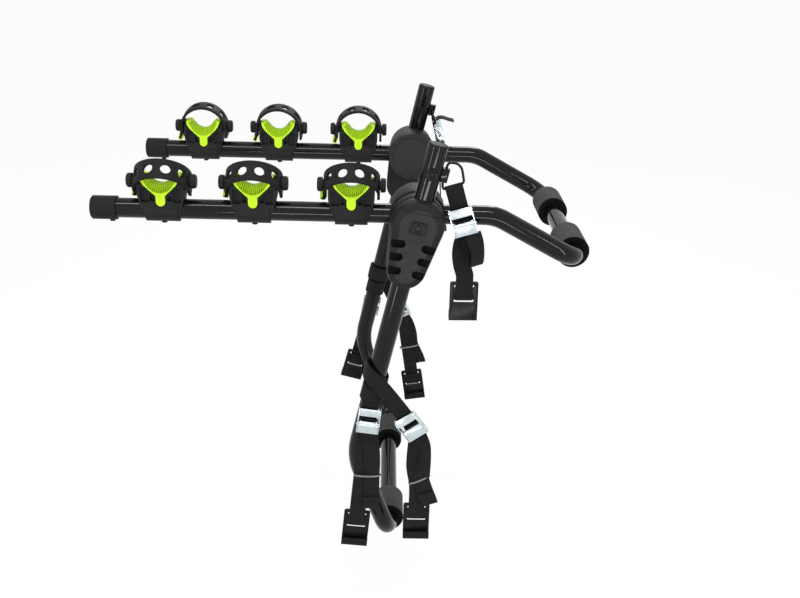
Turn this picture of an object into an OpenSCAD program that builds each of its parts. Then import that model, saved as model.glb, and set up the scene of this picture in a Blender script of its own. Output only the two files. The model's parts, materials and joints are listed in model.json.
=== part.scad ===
// Trunk mounted bike rack: two bent tube frames that fold at a pair of side hubs,
// bike cradles with rubber straps, foam pads and webbing straps with cam buckles and hooks.
// +X points to the vehicle, the right side is -Y and the left side is +Y.
// The origin is the middle of the lower crossbar.

/* [Tubes] */
// Outside diameter of both frame tubes
tube_d = 31.8; // [30:0.2:34]
// Wall of both frame tubes
tube_wall = 1.5; // [1:0.1:2.5]
// Clear gap between a bike arm and the leg beside it
side_gap = 12; // [10:1:18]
// Centre line radius of the crossbar corners
corner_r = 42; // [38:1:50]

/* [Upper frame] */
// Distance between the two bike arms
arm_span = 380; // [360:1:420]
// Length of a bike arm from the pivot to its tip
arm_len = 514; // [500:1:600]
// Straight run from the pivot to the bend behind it
upper_run = 126; // [110:1:140]
// Centre line radius of the bend behind the pivot
upper_bend_r = 70; // [50:1:100]
// Distance from the pivot to the upper crossbar
upper_bar_x = 267; // [240:1:300]
// Drop of the upper crossbar below the pivot
upper_bar_drop = 76; // [50:1:100]

/* [Lower frame] */
// Lean of the legs, in degrees
leg_lean = 12.5; // [9:0.5:16]
// Length of the stub above the pivot
stub_len = 127; // [120:1:150]
// Length of a leg from the pivot to its bend
leg_len = 438; // [420:1:460]
// Centre line radius of the bend in the leg
leg_bend_r = 120; // [80:1:150]
// Height of the pivot above the lower crossbar
hub_height = 605; // [590:1:650]
// Distance of the pivot ahead of the lower crossbar
hub_ahead = 33; // [20:1:50]
// Distance between the corners of the lower crossbar
foot_span = 424; // [412:1:440]

/* [Pads] */
// Outside diameter of a foam pad
pad_d = 55; // [48:1:64]
// Length of an upper pad
upper_pad_len = 77; // [60:1:77]
// Distance of an upper pad from the corner of its crossbar
upper_pad_inset = 1; // [1:1:8]
// Length of a lower pad
lower_pad_len = 66; // [50:1:66]
// Distance of a lower pad from the corner of its crossbar
lower_pad_inset = 5; // [1:1:12]

/* [Hubs] */
// Radius of the hub drum on an arm
drum_r = 45; // [43:1:48]
// Wall of the drum inside the arm tube
drum_wall = 7; // [6:0.5:10]
// Thickness of the inner cap of a hub
inner_cap_t = 8; // [8:0.5:12]
// Radius of the round top of a hub cover
cover_r = 42; // [40:1:44]
// Radius of the round bottom of a hub cover
cover_low_r = 31.5; // [28:0.5:34]
// Distance between the centres of a cover's two round ends
cover_drop = 75; // [70:1:86]
// Diameter of the pivot bolt
bolt_d = 10; // [8:0.5:12]
// Width of a release button
button_w = 25; // [22:0.5:28]
// Height of a release button
button_h = 20; // [18:0.5:24]
// Travel of a release button
button_travel = 3.5; // [2:0.5:5]

/* [Cradles] */
// Distance from the pivot to the nearest cradle
cradle_inner = 105; // [100:1:120]
// Distance from the end of the arm to the outer cradle
cradle_from_end = 109.5; // [105:0.5:125]
// Place of the middle cradle between the other two, as a share of the way out
cradle_mid = 0.5175; // [0.45:0.0025:0.55]
// Width of a cradle across the arm
cradle_w = 32; // [30:1:36]
// Length of the cradle foot along the arm
cradle_foot = 52; // [46:1:60]
// Wall of the cradle collar under the arm
collar_wall = 4; // [3:0.5:5]
// Height of the strap pegs above the top of the arm
peg_rise = 30; // [28:1:36]
// Diameter of the round knob on a peg
knob_d = 23; // [20:0.5:23]
// Thickness of the knob
knob_t = 8.5; // [6:0.5:10]
// Radius of the tube seat in the soft insert
seat_r = 20; // [18:0.5:20.5]

/* [Rubber straps] */
// Outside radius of the strap arch
strap_r = 45; // [44:0.5:50]
// Thickness of a rubber strap
strap_t = 4.5; // [3:0.5:4.5]
// Width of a rubber strap
strap_w = 33; // [28:1:36]
// Diameter of the holes in a rubber strap
strap_hole_d = 16; // [12:0.5:16]
// How far the middle of the strap arch lies below the pegs
strap_sink = 3; // [0:0.5:3]
// Length of a strap's inner tail below the pegs
strap_tail = 19; // [17:0.5:22]
// Length of the end of a strap's outer tail, which stands away and has the clip
pull_tail = 10; // [9:0.5:10.5]
// Lean of the right hand straps towards the right, in degrees
lean_right = 46; // [0:1:55]
// Lean of the left hand straps towards the right, in degrees
lean_left = 7; // [0:1:45]

/* [Webbing] */
// Width of the webbing
web_w = 28; // [25:1:29]
// Thickness of the webbing
web_t = 1.6; // [1.2:0.1:2]
// Distance from the pivot up the stub to the strap bracket
bracket_up = 84; // [78:1:90]
// Distance from the pivot down the leg to the lower strap
lower_wrap = 276; // [255:1:290]
// Distance between the two straps wrapped on a leg
wrap_step = 32; // [32:1:40]
// Width of a hook
hook_w = 46; // [40:1:52]
// Height of a hook
hook_h = 68; // [60:1:76]
// Clear mouth of a hook
hook_mouth = 6.5; // [5:0.5:9]
// Thickness of a hook's plate
hook_t = 3; // [2.5:0.5:4]

/* [Hidden] */
$fn = 64;

// Finishes
black_paint = "#1c1c1e";
grey_plastic = "#2b2c2e";
black_rubber = "#202122";
foam_grey = "#343537";
lime = "#b4e01e";
zinc = "#c9ccce";
web_black = "#1f2022";

// Clearances
fit = 0.1;
run = 0.06;
turn_gap = 0.5;
soft_gap = 0.2;
past = 1;
bend_lap = 1;
bend_swell = 0.1;

// Frame places, from the pivot
tube_r = tube_d / 2;
arm_y = arm_span / 2;
split_y = arm_y + tube_r + side_gap / 2;
leg_y = arm_y + tube_d + side_gap;
drum_y = arm_y - tube_r - drum_wall;
bolt_r = bolt_d / 2;
bush_r = bolt_r + 3;

function unit(v) = v / norm(v);
function flip(v) = [v.x, -v.y, v.z];
function backwards(list) = [for (i = [len(list) - 1:-1:0]) list[i]];
function leg_point(d) = [-d * sin(leg_lean), -d * cos(leg_lean)];

// Half of each tube's route, from its open end to the middle of its crossbar
upper_half = [
    [-arm_len, arm_y, 0],
    [upper_run, arm_y, 0],
    [upper_bar_x, arm_y, -upper_bar_drop]
];
lower_half = [
    [stub_len * sin(leg_lean), leg_y, stub_len * cos(leg_lean)],
    [-leg_len * sin(leg_lean), leg_y, -leg_len * cos(leg_lean)],
    [-hub_ahead, foot_span / 2, -hub_height]
];

// Helpers

module at_hub() {
    translate([hub_ahead, 0, hub_height]) children();
}

// Draws its children, made for the left, on the named side
module on_side(side) {
    if (side == "right") mirror([0, 1, 0]) children();
    else children();
}

module both_sides() {
    for (side = ["right", "left"]) on_side(side) children();
}

// Turns the vertical axis along the leg
module along_leg() {
    rotate([0, leg_lean, 0]) children();
}

// Extrudes a flat XZ outline from y0 to y1
module slab(y0, y1) {
    translate([0, y1, 0]) rotate([90, 0, 0]) linear_extrude(y1 - y0) children();
}

module rod_y(r, y0, y1) {
    translate([0, y0, 0]) rotate([-90, 0, 0]) cylinder(r = r, h = y1 - y0);
}

module rod_x(r, x0, x1) {
    translate([x0, 0, 0]) rotate([0, 90, 0]) cylinder(r = r, h = x1 - x0);
}

module frame_at(c, ax, ay, az) {
    multmatrix([
        [ax.x, ay.x, az.x, c.x],
        [ax.y, ay.y, az.y, c.y],
        [ax.z, ay.z, az.z, c.z],
        [0, 0, 0, 1]
    ]) children();
}

module rod(p, q, r) {
    az = unit(q - p);
    ax = unit(cross(abs(az.y) < 0.9 ? [0, 1, 0] : [1, 0, 0], az));
    frame_at(p, ax, cross(az, ax), az) cylinder(r = r, h = norm(q - p));
}

// Round bar along a route, with a centre line radius at each inner point.
// Each bend is a hair fatter than the straights, which reach into it by a short lap.
module bent_bar(route, radii, r) {
    last = len(route) - 1;
    dir = [for (i = [0:last - 1]) unit(route[i + 1] - route[i])];
    turn = [for (i = [1:last - 1]) acos(dir[i - 1] * dir[i])];
    cut = concat([0], [for (i = [1:last - 1]) radii[i - 1] * tan(turn[i - 1] / 2) - bend_lap], [0]);
    for (i = [0:last - 1]) rod(route[i] + dir[i] * cut[i], route[i + 1] - dir[i] * cut[i + 1], r);
    for (i = [1:last - 1]) {
        a = dir[i - 1];
        n = unit(dir[i] - a * (a * dir[i]));
        frame_at(route[i] - a * (cut[i] + bend_lap) + n * radii[i - 1], -n, a, cross(-n, a))
            rotate_extrude(angle = turn[i - 1]) translate([radii[i - 1], 0]) circle(r + bend_swell);
    }
}

// Hollow U tube from half of its route
module u_tube(half, bend_r) {
    route = concat(half, backwards([for (p = half) flip(p)]));
    radii = [bend_r, corner_r, corner_r, bend_r];
    tip = unit(half[0] - half[1]) * past;
    longer = [for (i = [0:len(route) - 1])
        i == 0 ? route[i] + tip : i == len(route) - 1 ? route[i] + flip(tip) : route[i]];
    difference() {
        bent_bar(route, radii, tube_r);
        bent_bar(longer, radii, tube_r - tube_wall);
    }
}

// Circle over a smaller circle, with their common tangents as flanks
module drop(r_top, r_low, d) {
    lean = asin((r_top - r_low) / d);
    polygon(concat(
        [for (a = [-lean:(180 + 2 * lean) / 40:180 + lean]) r_top * [cos(a), sin(a)]],
        [for (a = [180 + lean:(180 - 2 * lean) / 24:360 - lean]) [0, -d] + r_low * [cos(a), sin(a)]]
    ));
}

// Flat slot with round ends
module slot(w, h) {
    square([w - h, h], center = true);
    for (s = [-1, 1]) translate([s * (w - h) / 2, 0]) circle(d = h);
}

// Rectangle with round corners
module soft_square(w, h, r) {
    square([w - 2 * r, h], center = true);
    square([w, h - 2 * r], center = true);
    for (x = [-1, 1], y = [-1, 1]) translate([x * (w / 2 - r), y * (h / 2 - r)]) circle(r);
}

// Outline of a flat band of width w along a list of points
module band(pts, w) {
    last = len(pts) - 1;
    dir = [for (i = [0:last - 1]) unit(pts[i + 1] - pts[i])];
    side = [for (i = [0:last]) let (
            a = dir[max(i - 1, 0)], b = dir[min(i, last - 1)], m = unit(a + b)
        ) [-m.y, m.x] * (w / 2) / (m * b)];
    polygon(concat([for (i = [0:last]) pts[i] + side[i]],
        [for (i = [last:-1:0]) pts[i] - side[i]]));
}

// Lower frame

bracket_t = 3;
bracket_h = 22;
rivet_r = 4;

module lower_tube() {
    color(black_paint) at_hub() difference() {
        u_tube(lower_half, leg_bend_r);
        both_sides() along_leg() {
            rod_y(bolt_r + fit, leg_y - tube_d, leg_y + tube_d);
            translate([0, 0, bracket_up]) {
                rod_y(rivet_r + fit, leg_y - tube_d, leg_y + tube_d);
                translate([0, leg_y - bracket_t / 2 - fit, -bracket_h / 2 - fit])
                    cube([tube_d, bracket_t + 2 * fit, bracket_h + 2 * fit]);
            }
        }
    }
}

cap_rim = 2;
cap_plug = 14;

module stub_caps() {
    color(grey_plastic) at_hub() both_sides() along_leg() translate([0, leg_y, stub_len]) {
        translate([0, 0, -cap_plug]) cylinder(r = tube_r - tube_wall - fit, h = cap_plug);
        cylinder(r1 = tube_r, r2 = tube_r - cap_rim, h = cap_rim);
    }
}

pad_round = 2;

// Foam sleeve on a crossbar with its inner end at y0
module pad(y0, length) {
    bore = tube_r + soft_gap;
    translate([0, y0, 0]) rotate([-90, 0, 0]) rotate_extrude() {
        translate([bore, 0]) square([pad_d / 2 - pad_round - bore, length]);
        translate([bore, pad_round]) square([pad_d / 2 - bore, length - 2 * pad_round]);
        for (y = [pad_round, length - pad_round])
            translate([pad_d / 2 - pad_round, y]) circle(pad_round);
    }
}

// Where the straight run of a crossbar ends at its corner
function straight_end(half) = half[2].y - corner_r * tan(acos(-unit(half[2] - half[1]).y) / 2);

module lower_pad(side) {
    color(foam_grey) on_side(side)
        pad(straight_end(lower_half) - lower_pad_inset - lower_pad_len, lower_pad_len);
}

module upper_pad(side) {
    color(foam_grey) at_hub() on_side(side) translate([upper_bar_x, 0, -upper_bar_drop])
        pad(straight_end(upper_half) - upper_pad_inset - upper_pad_len, upper_pad_len);
}

// Hubs

nut_r = 9;
nut_t = 5;
head_r = 8;
head_t = 2;
button_pocket = 5;
button_flange = 2;
button_face_t = 3.7;
button_clear = 0.4;
button_lip = 2.5;
button_proud = 1.5;
spring_turns = 3;
spring_wire_r = 0.4;
spring_solid = (spring_turns + 1) * 2 * spring_wire_r;
button_back_y = leg_y + tube_r + fit + head_t + spring_solid + button_travel;
cover_y = button_back_y + button_flange + button_clear + button_face_t;
cover_depth = cover_y - leg_y - tube_r;
cover_edge = 13;
slot_w = 25;
slot_h = 13;
slot_depth = 7;
slot_drop = [31, 53, 76];
slot_out = [25, 24, 21];
slot_turn = 12;

module leg_groove() {
    translate([0, leg_y, -leg_len]) cylinder(r = tube_r + fit, h = leg_len + stub_len);
}

module hub_housing(side) {
    color(grey_plastic) at_hub() on_side(side) along_leg() difference() {
        slab(split_y + turn_gap / 2, leg_y) drop(cover_r + 1, cover_low_r, cover_drop);
        leg_groove();
        rod_y(bolt_r + fit, split_y, leg_y);
    }
}

// Domed outer half of a hub, with a window for the button and slots on both flanks
module hub_cover(side) {
    color(grey_plastic) at_hub() on_side(side) along_leg() difference() {
        hull() {
            slab(leg_y, leg_y + tube_r) drop(cover_r, cover_low_r, cover_drop, $fn = 48);
            slab(cover_y - cover_depth / 3, cover_y - cover_depth / 3 + 0.1)
                drop(cover_r - cover_edge / 4, cover_low_r - cover_edge / 4, cover_drop, $fn = 48);
            slab(cover_y - 0.1, cover_y)
                drop(cover_r - cover_edge, cover_low_r - cover_edge, cover_drop, $fn = 48);
        }
        leg_groove();
        slab(leg_y + tube_r, cover_y - button_face_t)
            square([button_w + 2 * button_pocket, button_h + 2 * button_pocket], center = true);
        slab(leg_y, cover_y + past) soft_square(button_w + 2 * button_clear, button_h + 2 * button_clear, 5);
        for (i = [0:2], s = [-1, 1]) slab(cover_y - slot_depth, cover_y + past)
            translate([s * slot_out[i], -slot_drop[i]]) rotate(-s * slot_turn) slot(slot_w, slot_h);
    }
}

module pivot_bolts() {
    color(zinc) at_hub() both_sides() {
        rod_y(bolt_r, drum_y - nut_t - 1, leg_y + tube_r + fit);
        rod_y(head_r, leg_y + tube_r + fit, leg_y + tube_r + fit + head_t);
    }
}

module pivot_nuts() {
    color(zinc) at_hub() both_sides() difference() {
        translate([0, drum_y - fit - nut_t, 0]) rotate([-90, 0, 0])
            cylinder(r = nut_r, h = nut_t, $fn = 6);
        rod_y(bolt_r + fit / 5, drum_y - nut_t - past, drum_y + past);
    }
}

spring_r = 6;
spring_sides = 6;
spring_steps = 16;
spring_y0 = leg_y + tube_r + fit + head_t + spring_wire_r + fit;
spring_y1 = button_back_y - spring_wire_r - fit;

// Compression coil behind a release button
module button_spring(side) {
    count = spring_turns * spring_steps;
    rings = [for (i = [0:count]) let (a = 360 * i / spring_steps, y = spring_y0
            + (spring_y1 - spring_y0) * i / count)
        [for (k = [0:spring_sides - 1]) let (
                b = 360 * k / spring_sides, r = spring_r + spring_wire_r * cos(b))
            [r * cos(a), y + spring_wire_r * sin(b), r * sin(a)]]];
    pts = [for (ring = rings, p = ring) p];
    last = count * spring_sides;
    walls = [for (i = [0:count - 1], k = [0:spring_sides - 1]) let (
            a = i * spring_sides + k, b = i * spring_sides + (k + 1) % spring_sides)
        each [[a, b, b + spring_sides], [a, b + spring_sides, a + spring_sides]]];
    ends = [for (k = [1:spring_sides - 2]) each [[0, k + 1, k], [last, last + k, last + k + 1]]];
    color(zinc) at_hub() on_side(side) polyhedron(pts, concat(walls, ends));
}

button_rim = 2.8;
button_dish = 1.2;
button_knob_r = 5.8;

module release_button(side) {
    top_y = cover_y + button_proud;
    color(black_rubber) at_hub() on_side(side) along_leg() {
        slab(button_back_y, button_back_y + button_flange)
            soft_square(button_w + 2 * button_lip, button_h + 2 * button_lip, 4);
        difference() {
            slab(button_back_y, top_y) soft_square(button_w, button_h, 4.6);
            slab(top_y - button_dish, top_y + past) difference() {
                soft_square(button_w - 2 * button_rim, button_h - 2 * button_rim, 3);
                circle(button_knob_r);
            }
        }
    }
}

// Drum that carries an arm through the hub
module hub_drum(side) {
    color(grey_plastic) at_hub() on_side(side) difference() {
        rod_y(drum_r, drum_y, split_y - turn_gap / 2);
        translate([0, arm_y, 0]) rod_x(tube_r + fit, -drum_r - past, drum_r + past);
        rod_y(bush_r + fit, drum_y - past, split_y + past);
    }
}

inner_cap_step = 9;
cap_notches = 12;
cap_notch_w = 7;

// Notched discs on the inner faces of the drums
module hub_inner_caps() {
    color(grey_plastic) at_hub() both_sides() difference() {
        union() {
            rod_y(drum_r, drum_y - inner_cap_t / 2, drum_y);
            rod_y(drum_r - inner_cap_step, drum_y - inner_cap_t, drum_y - inner_cap_t / 2);
        }
        rod_y(nut_r + past, drum_y - inner_cap_t + 1, drum_y + past);
        for (i = [0:cap_notches - 1]) rotate([0, i * 360 / cap_notches, 0])
            translate([drum_r, drum_y - inner_cap_t / 2, 0])
                cube([8, inner_cap_t / 2, cap_notch_w], center = true);
    }
}

module pivot_bushes() {
    color(zinc) at_hub() both_sides() difference() {
        rod_y(bush_r, drum_y + fit, split_y - turn_gap / 2);
        rod_y(bolt_r + run, drum_y, split_y);
    }
}

// Upper frame

module upper_tube() {
    color(black_paint) at_hub() difference() {
        u_tube(upper_half, upper_bend_r);
        both_sides() {
            rod_y(bush_r + fit, drum_y, split_y);
            for (x = cradle_places) translate([x, arm_y, -tube_d]) cylinder(r = screw_r + fit, h = tube_d);
            translate([cap_screw_x, arm_y, -tube_d]) cylinder(r = screw_r + fit, h = tube_d);
        }
    }
}

arm_cap_len = 36;
arm_cap_wall = 3;
arm_cap_end = 4;
cap_round = 2;
screw_r = 2.2;
screw_head_r = 4.5;
screw_head_t = 2.5;
screw_len = 9;
cap_screw_x = -arm_len + arm_cap_len - 9;

module arm_caps() {
    color(black_rubber) at_hub() both_sides() translate([-arm_len - arm_cap_end, arm_y, 0])
        difference() {
            rotate([0, 90, 0]) union() {
                cylinder(r1 = tube_r + arm_cap_wall - cap_round, r2 = tube_r + arm_cap_wall, h = cap_round);
                translate([0, 0, cap_round])
                    cylinder(r = tube_r + arm_cap_wall, h = arm_cap_len - cap_round + arm_cap_end);
            }
            rod_x(tube_r + fit, arm_cap_end - fit, arm_cap_len + arm_cap_end + past);
            translate([cap_screw_x + arm_len + arm_cap_end, 0, -tube_d])
                cylinder(r = screw_r + fit, h = tube_d);
        }
}

// Screw that comes up through the underside of a tube
module under_screw(seat) {
    translate([0, 0, -seat - fit]) {
        translate([0, 0, -screw_head_t]) cylinder(r = screw_head_r, h = screw_head_t);
        cylinder(r = screw_r, h = screw_len);
    }
}

module cap_screws() {
    color(zinc) at_hub() both_sides() translate([cap_screw_x, arm_y, 0])
        under_screw(tube_r + arm_cap_wall);
}

// Cradles

cradle_outer = arm_len - cradle_from_end;
cradle_places = [
    -cradle_inner, -cradle_inner - (cradle_outer - cradle_inner) * cradle_mid, -cradle_outer
];
peg_z = tube_r + peg_rise;
strap_in_r = strap_r - strap_t;
arch_r = norm([strap_r, strap_sink]);
peg_r = strap_hole_d / 2 - run;
ear_x = strap_in_r - 3.6;
ear_r = 13;
ear_in_x = ear_x - ear_r;
knob_x = strap_r + 1;
knob_edge = 2;

// The insert's face is a half disc that runs down in a V to a rounded tongue
insert_half = ear_x - 3.8;
insert_proud = 3;
insert_w = cradle_w + 2 * insert_proud;
insert_arc_z = tube_r + 49;
insert_low_z = tube_r + 11;
insert_low_w = 8;
tongue_w = 14.4;
tongue_low_z = tube_r - 6.4;
horn_top_z = peg_z + ear_r;
horn_round = 10;

// The seat is a round neck that opens through a sloping flare to each face
seat_rise = 26;
seat_low_z = tube_r + seat_rise;
seat_z = seat_low_z + seat_r;
flare_len = 12;
flare_drop = 11.5;
flare_r = seat_r + 9;
seat_spread = 56;
neck_half = insert_w / 2 - flare_len;

module insert_outline(grow) {
    round_r = insert_half + grow;
    low_w = insert_low_w + grow;
    drop = insert_arc_z - insert_low_z + grow;
    meet_a = atan2(drop, low_w) - acos(round_r / norm([low_w, drop]));
    meet = [round_r * cos(meet_a), -round_r * sin(meet_a)];
    translate([0, insert_arc_z]) {
        difference() {
            circle(round_r);
            translate([-2 * round_r, 0]) square([4 * round_r, 2 * round_r]);
        }
        polygon([[-meet.x, meet.y], [-low_w, -drop], [low_w, -drop], meet]);
    }
}

module cradle() {
    half_foot = cradle_foot / 2;
    low_z = -tube_r * 0.6;
    difference() {
        union() {
            slab(-cradle_w / 2, cradle_w / 2) polygon([
                [-half_foot, low_z], [half_foot, low_z], [ear_x - 3, tube_r - 4],
                [ear_x, tube_r + 10], [ear_x, peg_z], [-ear_x, peg_z],
                [-ear_x, tube_r + 10], [3 - ear_x, tube_r - 4]
            ]);
            rod_x(tube_r + collar_wall, -half_foot, half_foot);
            for (s = [0, 180]) rotate([0, 0, s]) translate([0, 0, peg_z]) {
                rod_x(ear_r, ear_in_x, ear_x);
                rod_x(peg_r, ear_x - past, knob_x + past);
                rod_x(knob_d / 2, knob_x, knob_x + knob_t - knob_edge);
                translate([knob_x + knob_t - knob_edge, 0, 0]) rotate([0, 90, 0])
                    cylinder(r1 = knob_d / 2, r2 = knob_d / 2 - knob_edge, h = knob_edge);
            }
        }
        slab(-cradle_w, cradle_w) insert_outline(soft_gap);
        for (s = [0, 180]) rotate([0, 0, s]) slab(cradle_w / 2, cradle_w) tongue_outline(soft_gap);
        rod_x(tube_r + fit, -cradle_foot, cradle_foot);
        translate([0, 0, -tube_d]) cylinder(r = screw_r + fit, h = tube_d);
        for (y = [-1, 1], x = [0, 1]) rib_pocket(y, x);
    }
}

pocket_depth = 6;
pocket_rim = 3.2;
pocket_rib_x = 17;
pocket_rib = 2;

// Hollows between the rim and the ribs on a cradle's faces
module rib_pocket(y, x) {
    face = cradle_w / 2;
    y0 = y > 0 ? face - pocket_depth : -face - past;
    stem = tongue_w / 2 + pocket_rim;
    wall = ear_x - 5;
    mirror([x, 0, 0]) slab(y0, y0 + pocket_depth + past) difference() {
        union() {
            translate([stem, tube_r + 1]) square([pocket_rib_x - stem, peg_rise]);
            translate([pocket_rib_x + pocket_rib, tube_r - 1])
                square([wall - pocket_rib_x - pocket_rib, peg_rise - ear_r + 7]);
        }
        insert_outline(pocket_rim);
    }
}

module cradles(side) {
    color(grey_plastic) at_hub() on_side(side)
        for (x = cradle_places) translate([x, arm_y, 0]) cradle();
}

// Block whose upper corners are round, so that a rubber strap swings clear of the horns
module horn_shape() {
    half = insert_w / 2;
    low_z = horn_top_z - horn_round;
    translate([-ear_x, -half, 0]) cube([2 * ear_x, insert_w, low_z]);
    translate([-ear_x, horn_round - half, 0]) cube([2 * ear_x, insert_w - 2 * horn_round, horn_top_z]);
    for (y = [horn_round - half, half - horn_round]) translate([0, y, low_z]) rod_x(horn_round, -ear_x, ear_x);
}

// Soft V insert with a round seat and a tongue on each face
// Round seat whose sides go on straight and open upwards
module seat_shape() {
    side = seat_r * [sin(seat_spread), -cos(seat_spread)] + [0, seat_z];
    rise = horn_top_z + past - side.y;
    top = side.x + rise / tan(seat_spread);
    translate([0, seat_z]) circle(seat_r);
    polygon([[-side.x, side.y], [side.x, side.y], [top, side.y + rise], [-top, side.y + rise]]);
}

module tongue_outline(grow) {
    round_r = tongue_w / 2 + grow;
    middle_z = tongue_low_z + tongue_w / 2;
    translate([-round_r, middle_z]) square([2 * round_r, insert_low_z - middle_z + 2]);
    translate([0, middle_z]) circle(round_r);
}

module insert() {
    face = cradle_w / 2 + fit;
    difference() {
        intersection() {
            union() {
                slab(-insert_w / 2, insert_w / 2) insert_outline(0);
                for (y = [-insert_w / 2, face]) slab(y, y + insert_w / 2 - face) tongue_outline(0);
            }
            horn_shape();
        }
        slab(-insert_w, insert_w) seat_shape();
        for (s = [0, 180]) rotate([0, 0, s]) translate([0, neck_half, seat_low_z])
            rotate([-atan2(flare_drop, flare_len), 0, 0]) translate([0, 0, flare_r])
                rod_y(flare_r, -insert_w, 2 * insert_w);
    }
}

module inserts(side) {
    color(lime) at_hub() on_side(side)
        for (x = cradle_places) translate([x, arm_y, 0]) insert();
}

module cradle_screws() {
    color(zinc) at_hub() both_sides() for (x = cradle_places)
        translate([x, arm_y, 0]) under_screw(tube_r + collar_wall);
}

// Places a strap's own axes on a cradle's peg axis, at its lean
module on_pegs(i, side) {
    y = side == "right" ? -arm_y : arm_y;
    at_hub() translate([cradle_places[i], y, peg_z])
        rotate([side == "right" ? lean_right : lean_left, 0, 0]) children();
}

tail_knee = knob_d / 2 + 1;
tail_lean = 20;

// The end of the outer tail, which stands away from the knob
module on_pull_tail() {
    translate([strap_t / 2 - arch_r, 0, -tail_knee]) rotate([0, tail_lean, 0]) children();
}

// Arched rubber band with a row of holes and two tails
module rubber_strap(i, side) {
    color(black_rubber) on_pegs(i, side) difference() {
        union() {
            slab(-strap_w / 2, strap_w / 2) translate([0, -strap_sink]) difference() {
                circle(arch_r);
                circle(arch_r - strap_t);
                translate([-2 * arch_r, -2 * arch_r]) square([4 * arch_r, 2 * arch_r]);
            }
            translate([arch_r - strap_t, -strap_w / 2, -strap_tail])
                cube([strap_t, strap_w, strap_tail - strap_sink]);
            translate([-arch_r, -strap_w / 2, -tail_knee]) cube([strap_t, strap_w, tail_knee - strap_sink]);
            on_pull_tail() {
                rod_y(strap_t / 2 + bend_swell, -strap_w / 2, strap_w / 2);
                translate([-strap_t / 2, -strap_w / 2, -pull_tail]) cube([strap_t, strap_w, pull_tail]);
            }
        }
        translate([0, 0, -strap_sink]) for (a = [-54:36:54])
            rotate([0, a, 0]) cylinder(d = strap_hole_d, h = 2 * arch_r);
        rod_x(strap_hole_d / 2, -2 * arch_r, 2 * arch_r);
    }
}

clip_t = 2;
clip_h = 9;
clip_gap = 0.1;

// U clip over the outer tail of a rubber strap
module strap_clip(i, side) {
    inner_t = strap_t + 2 * clip_gap;
    color(lime) on_pegs(i, side) on_pull_tail() difference() {
        translate([-inner_t / 2 - clip_t, -strap_w / 2 + 1, -pull_tail - clip_t - clip_gap])
            cube([inner_t + 2 * clip_t, strap_w - 2, clip_h + clip_t]);
        translate([-inner_t / 2, -strap_w, -pull_tail - clip_gap]) cube([inner_t, 2 * strap_w, clip_h + clip_t]);
    }
}

// Webbing straps

ring_wire_r = 2;
ring_half = web_w / 2 + 3;
lug_w = 10;
lug_h = 22;
lug_u = tube_r + 5.5;
lug_out = 5.5;
eye_r = ring_wire_r + 0.3;

// Plate through a slot in the stub, with a lug outside that holds a ring.
// The eye runs along the stub on the right and across it on the left.
module strap_bracket(across) {
    translate([0, 0, bracket_up]) difference() {
        union() {
            slab(leg_y - bracket_t / 2, leg_y + bracket_t / 2)
                translate([-tube_r / 2, -bracket_h / 2]) square([tube_r * 1.5 + 2, bracket_h]);
            slab(leg_y - lug_w / 2, leg_y + lug_w / 2)
                translate([tube_r + 3 * fit, -lug_h / 2]) square([lug_u + lug_out - tube_r - 3 * fit, lug_h]);
        }
        rod_y(rivet_r + fit, leg_y - tube_r, leg_y + tube_r);
        if (across) translate([lug_u, 0, 0]) rod_y(eye_r, leg_y - tube_r, leg_y + tube_r);
        else translate([lug_u, leg_y, -lug_h]) cylinder(r = eye_r, h = 2 * lug_h);
    }
}

module strap_brackets() {
    color(black_paint) at_hub() for (side = ["right", "left"])
        on_side(side) along_leg() strap_bracket(side == "left");
}

rivet_head_r = 10;
rivet_head_t = 2.5;
rivet_dimple_r = 5;

// Rivets through the stubs, with a dimpled head outside and a flat one inside
module bracket_rivets() {
    color(black_paint) at_hub() both_sides() along_leg() translate([0, 0, bracket_up]) difference() {
        union() {
            rod_y(rivet_r, leg_y - tube_r - rivet_head_t / 2, leg_y + tube_r + rivet_head_t);
            rod_y(rivet_head_r, leg_y + tube_r + fit, leg_y + tube_r + fit + rivet_head_t);
            rod_y(rivet_r + 2, leg_y - tube_r - fit - rivet_head_t / 2, leg_y - tube_r - fit);
        }
        rod_y(rivet_dimple_r, leg_y + tube_r + fit + rivet_head_t / 2, leg_y + 2 * tube_r);
    }
}

// Point of the leg's plane at u across the leg and w up it
function leg_xz(u, w) = [u * cos(leg_lean) + w * sin(leg_lean), w * cos(leg_lean) - u * sin(leg_lean)];

// Straps in the order of the lists below: upper right, upper left, side right,
// side left, lower right, lower left.
SIDE = ["right", "left", "right", "left", "right", "left"];
// A strap seen on edge has its width across the vehicle
ON_EDGE = [false, true, false, false, false, false];
// Tilt of each strap towards the vehicle, above and below its buckle
TILT = [17, 12, -7, -9.6, 36.2, 24.9];
LOW_TILT = [0.6, 5, -5, -14.5, 0, 9];
// Length from the anchor to the buckle pin, and from the buckle to the hook
TO_BUCKLE = [57.4, 30, 44, 58, 101.5, 108.5];
TO_HOOK = [80, 108, 163, 88, 140, 126];
// Distance of each strap's plane outside the leg's axis
wrap_t = 2 * web_t;
near_plane = tube_r + soft_gap + wrap_t - web_t / 2 + 0.4;
far_plane = near_plane + 3 * web_t;
PLANE = [0, 0, near_plane, near_plane, far_plane, far_plane];
// Whether the lip of each hook is turned outwards
LIP_OUT = [false, true, true, true, true, false];

buckle_half = 24;
ring_top = leg_xz(lug_u, bracket_up + lug_h / 2 + 9);
ring_low = leg_xz(lug_u, bracket_up - lug_h / 2 - 4);
ring_tilt = 12;
ring_h = 18;

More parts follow.
